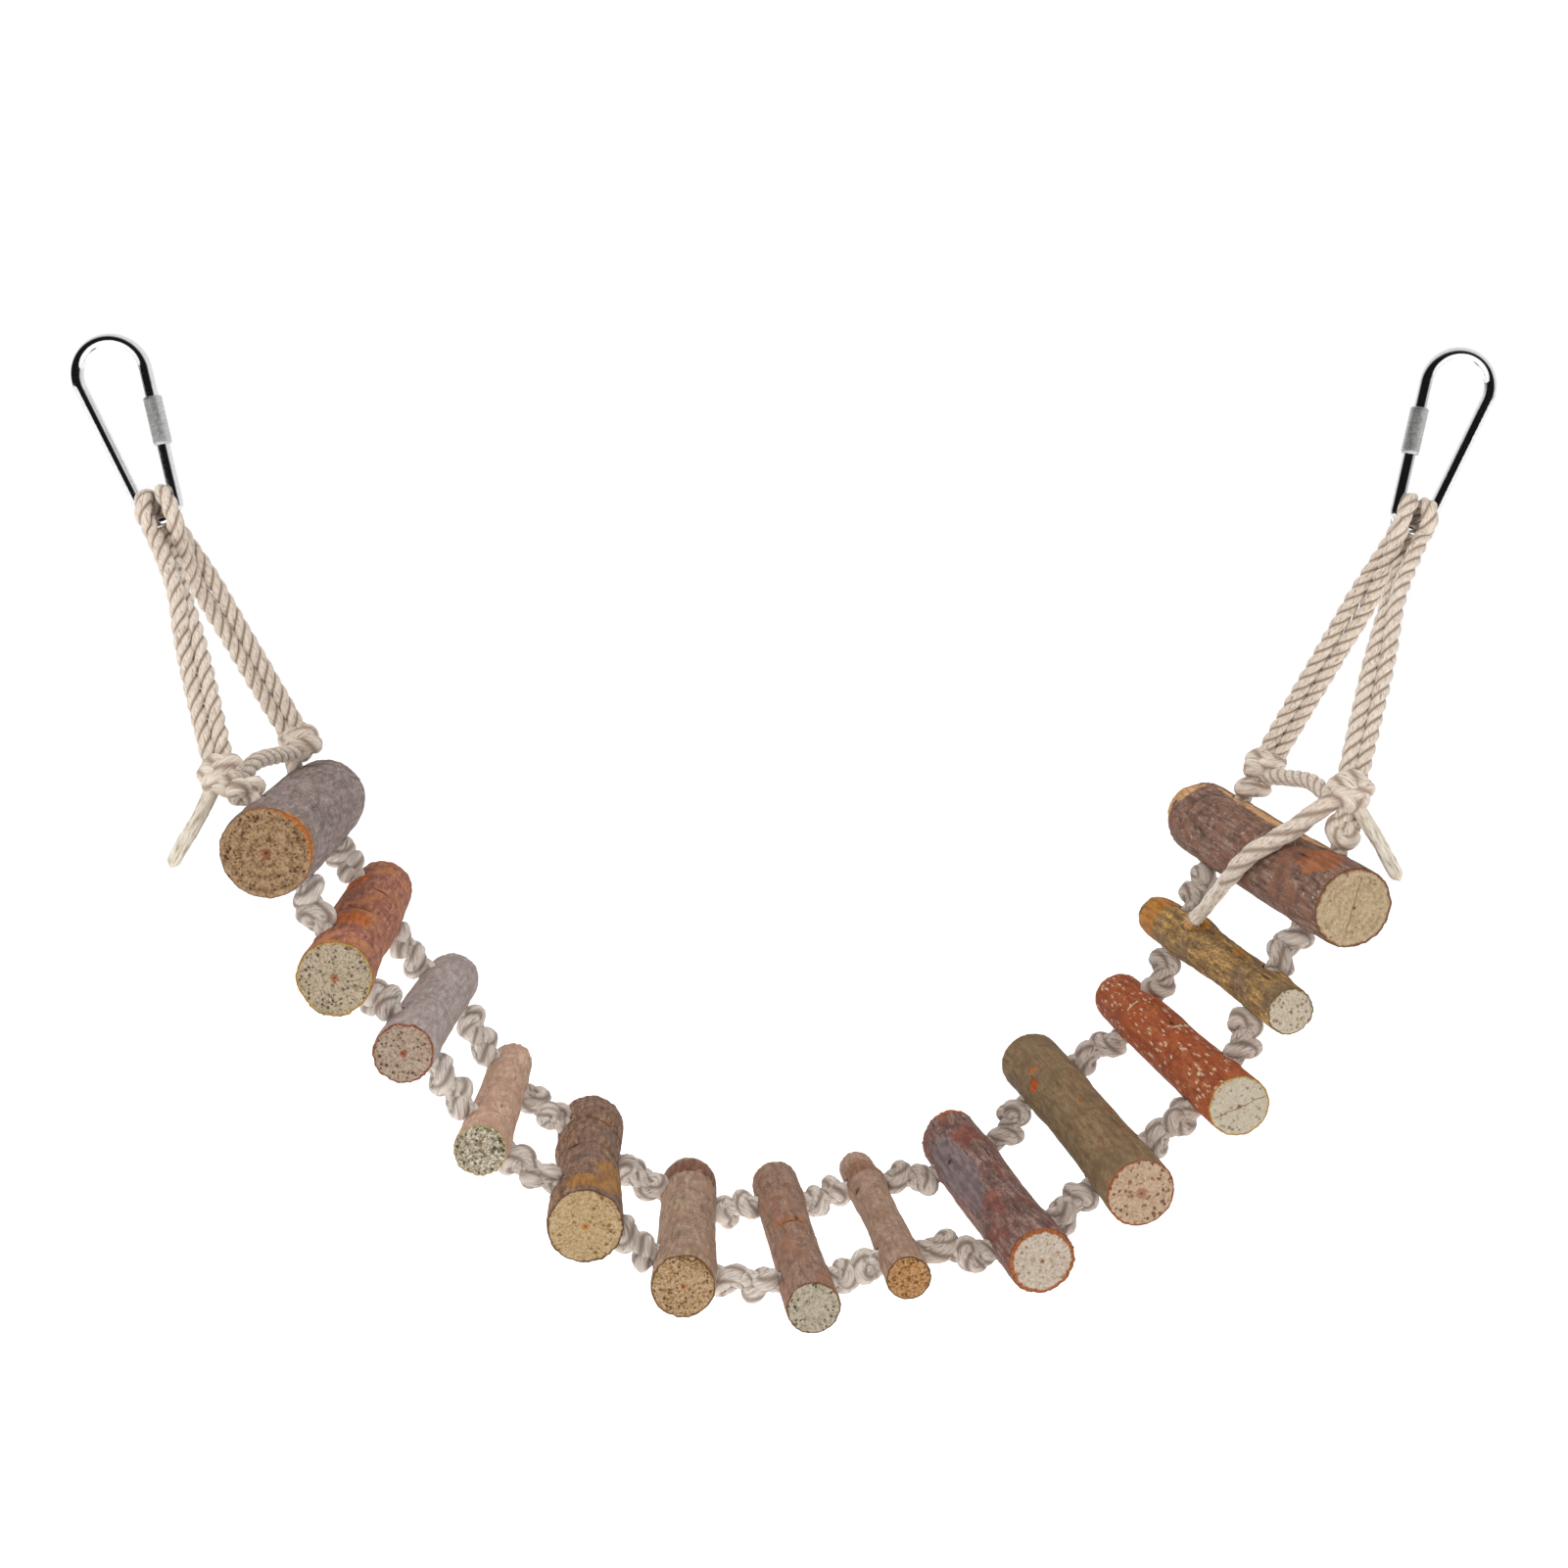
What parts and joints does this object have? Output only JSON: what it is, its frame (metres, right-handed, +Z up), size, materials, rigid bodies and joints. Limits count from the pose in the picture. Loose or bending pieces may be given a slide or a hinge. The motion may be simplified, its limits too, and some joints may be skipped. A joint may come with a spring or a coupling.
{
  "type": "hanging branch ladder",
  "caption": "Hanging ladder bridge for birds or small pets: natural branch rungs threaded and knotted on two cotton ropes, looped to a pear-shaped quick link at each end.",
  "frame": {"origin": "the point where the left hook bears, inside the wire at the top of the left link's wide end", "axes": "+X from the left link to the right link, +Y along the rungs from their front ends to their back ends, +Z up"},
  "size_m": [0.3412, 0.0822, 0.231],
  "materials": {
    "bark_01": "matt bark",
    "bark_02": "matt bark",
    "bark_03": "matt bark",
    "bark_04": "matt bark",
    "bark_05": "matt bark",
    "bark_06": "matt bark",
    "bark_07": "matt bark",
    "bark_08": "matt bark",
    "bark_09": "matt bark",
    "bark_10": "matt bark",
    "bark_11": "matt bark",
    "bark_12": "matt bark",
    "bark_13": "matt bark",
    "rope": "matt cotton",
    "dipped_rope": "satin, stiffened",
    "chrome_wire": "polished",
    "sleeve_steel": "satin"
  },
  "bodies": {
    "left_link": {"left_link": "chrome_wire"},
    "left_sleeve": {"left_sleeve": "sleeve_steel"},
    "left_loops": {"left_loop_front": "rope", "left_loop_back": "rope", "left_knot_front": "rope", "left_knot_back": "rope"},
    "rung_01": {"rung_01": "bark_01", "left_lead_front": "rope", "left_lead_back": "rope", "left_crossing": "rope", "left_tail": "dipped_rope", "rope_front_01_02": "rope", "rope_back_01_02": "rope"},
    "rung_02": {"rung_02": "bark_02", "rope_front_02_03": "rope", "rope_back_02_03": "rope"},
    "rung_03": {"rung_03": "bark_03", "rope_front_03_04": "rope", "rope_back_03_04": "rope"},
    "rung_04": {"rung_04": "bark_04", "rope_front_04_05": "rope", "rope_back_04_05": "rope"},
    "rung_05": {"rung_05": "bark_05", "rope_front_05_06": "rope", "rope_back_05_06": "rope"},
    "rung_06": {"rung_06": "bark_06", "rope_front_06_07": "rope", "rope_back_06_07": "rope"},
    "rung_07": {"rung_07": "bark_07", "rope_front_07_08": "rope", "rope_back_07_08": "rope"},
    "rung_08": {"rung_08": "bark_08", "rope_front_08_09": "rope", "rope_back_08_09": "rope"},
    "rung_09": {"rung_09": "bark_09", "rope_front_09_10": "rope", "rope_back_09_10": "rope"},
    "rung_10": {"rung_10": "bark_10", "rope_front_10_11": "rope", "rope_back_10_11": "rope"},
    "rung_11": {"rung_11": "bark_11", "rope_front_11_12": "rope", "rope_back_11_12": "rope"},
    "rung_12": {"rung_12": "bark_12", "rope_front_12_13": "rope", "rope_back_12_13": "rope"},
    "rung_13": {"rung_13": "bark_13", "right_lead_front": "rope", "right_lead_back": "rope", "right_crossing": "rope", "right_tail": "dipped_rope", "right_long_tail": "rope"},
    "right_loops": {"right_loop_front": "rope", "right_loop_back": "rope", "right_knot_front": "rope", "right_knot_back": "rope"},
    "right_link": {"right_link": "chrome_wire"},
    "right_sleeve": {"right_sleeve": "sleeve_steel"}
  },
  "joints": [
    {"name": "left_sleeve_screw", "type": "slide", "parent": "left_link", "child": "left_sleeve", "axis": [0.1952, 0, -0.9808], "range_m": [0, 0.0093]},
    {"name": "left_link_swing", "type": "hinge", "parent": "left_link", "child": "left_loops", "pos_m": [0.00973, 0, -0.03646], "axis": [0, 1, 0], "range_deg": [-60, 60], "deforming": ["left_loop_front", "left_loop_back"]},
    {"name": "rung_01_fold", "type": "hinge", "parent": "left_loops", "child": "rung_01", "pos_m": [0.03223, 0, -0.09705], "axis": [-0.1544, -0.9861, -0.0614], "range_deg": [-60, 60]},
    {"name": "rung_02_fold", "type": "hinge", "parent": "rung_01", "child": "rung_02", "pos_m": [0.04805, -0.00019, -0.12759], "axis": [-0.0167, 0.998, 0.0607], "range_deg": [-60, 60], "deforming": ["rope_front_01_02", "rope_back_01_02"]},
    {"name": "rung_03_fold", "type": "hinge", "parent": "rung_02", "child": "rung_03", "pos_m": [0.06298, 0.00051, -0.15063], "axis": [0.0015, -0.999, -0.0445], "range_deg": [-60, 60], "deforming": ["rope_front_02_03", "rope_back_02_03"]},
    {"name": "rung_04_fold", "type": "hinge", "parent": "rung_03", "child": "rung_04", "pos_m": [0.07935, -0.00006, -0.17258], "axis": [0.0127, 0.9999, -0.0044], "range_deg": [-60, 60], "deforming": ["rope_front_03_04", "rope_back_03_04"]},
    {"name": "rung_05_fold", "type": "hinge", "parent": "rung_04", "child": "rung_05", "pos_m": [0.09683, -0.00017, -0.19214], "axis": [0.0181, -0.9998, -0.0021], "range_deg": [-60, 60], "deforming": ["rope_front_04_05", "rope_back_04_05"]},
    {"name": "rung_06_fold", "type": "hinge", "parent": "rung_05", "child": "rung_06", "pos_m": [0.12142, 0.00029, -0.21082], "axis": [-0.0109, 0.9999, -0.0093], "range_deg": [-60, 60], "deforming": ["rope_front_05_06", "rope_back_05_06"]},
    {"name": "rung_07_fold", "type": "hinge", "parent": "rung_06", "child": "rung_07", "pos_m": [0.14747, -0.00044, -0.2202], "axis": [0.0273, -0.9994, -0.0222], "range_deg": [-60, 60], "deforming": ["rope_front_06_07", "rope_back_06_07"]},
    {"name": "rung_08_fold", "type": "hinge", "parent": "rung_07", "child": "rung_08", "pos_m": [0.17225, 0.00005, -0.21751], "axis": [-0.0695, 0.997, 0.0351], "range_deg": [-60, 60], "deforming": ["rope_front_07_08", "rope_back_07_08"]},
    {"name": "rung_09_fold", "type": "hinge", "parent": "rung_08", "child": "rung_09", "pos_m": [0.19573, -0.00029, -0.21332], "axis": [0.1066, -0.9933, -0.0448], "range_deg": [-60, 60], "deforming": ["rope_front_08_09", "rope_back_08_09"]},
    {"name": "rung_10_fold", "type": "hinge", "parent": "rung_09", "child": "rung_10", "pos_m": [0.22282, 0.00037, -0.20059], "axis": [-0.1443, 0.984, 0.1047], "range_deg": [-60, 60], "deforming": ["rope_front_09_10", "rope_back_09_10"]},
    {"name": "rung_11_fold", "type": "hinge", "parent": "rung_10", "child": "rung_11", "pos_m": [0.24597, 0.00017, -0.18121], "axis": [0.145, -0.9816, -0.1241], "range_deg": [-60, 60], "deforming": ["rope_front_10_11", "rope_back_10_11"]},
    {"name": "rung_12_fold", "type": "hinge", "parent": "rung_11", "child": "rung_12", "pos_m": [0.26302, 0.00014, -0.16013], "axis": [-0.1505, 0.9836, 0.0994], "range_deg": [-60, 60], "deforming": ["rope_front_11_12", "rope_back_11_12"]},
    {"name": "rung_13_fold", "type": "hinge", "parent": "rung_12", "child": "rung_13", "pos_m": [0.27264, 0.0002, -0.13821], "axis": [0.1711, -0.9774, -0.1242], "range_deg": [-60, 60], "deforming": ["rope_front_12_13", "rope_back_12_13", "right_long_tail"]},
    {"name": "right_loops_fold", "type": "hinge", "parent": "rung_13", "child": "right_loops", "pos_m": [0.28745, 0, -0.10342], "axis": [-0.1247, 0.992, 0.0184], "range_deg": [-60, 60]},
    {"name": "right_link_swing", "type": "hinge", "parent": "right_loops", "child": "right_link", "pos_m": [0.31262, 0, -0.03796], "axis": [0, -1, 0], "range_deg": [-60, 60], "deforming": ["right_loop_front", "right_loop_back"]},
    {"name": "right_sleeve_screw", "type": "slide", "parent": "right_link", "child": "right_sleeve", "axis": [-0.1952, 0, -0.9808], "range_m": [0, 0.0093]}
  ]
}
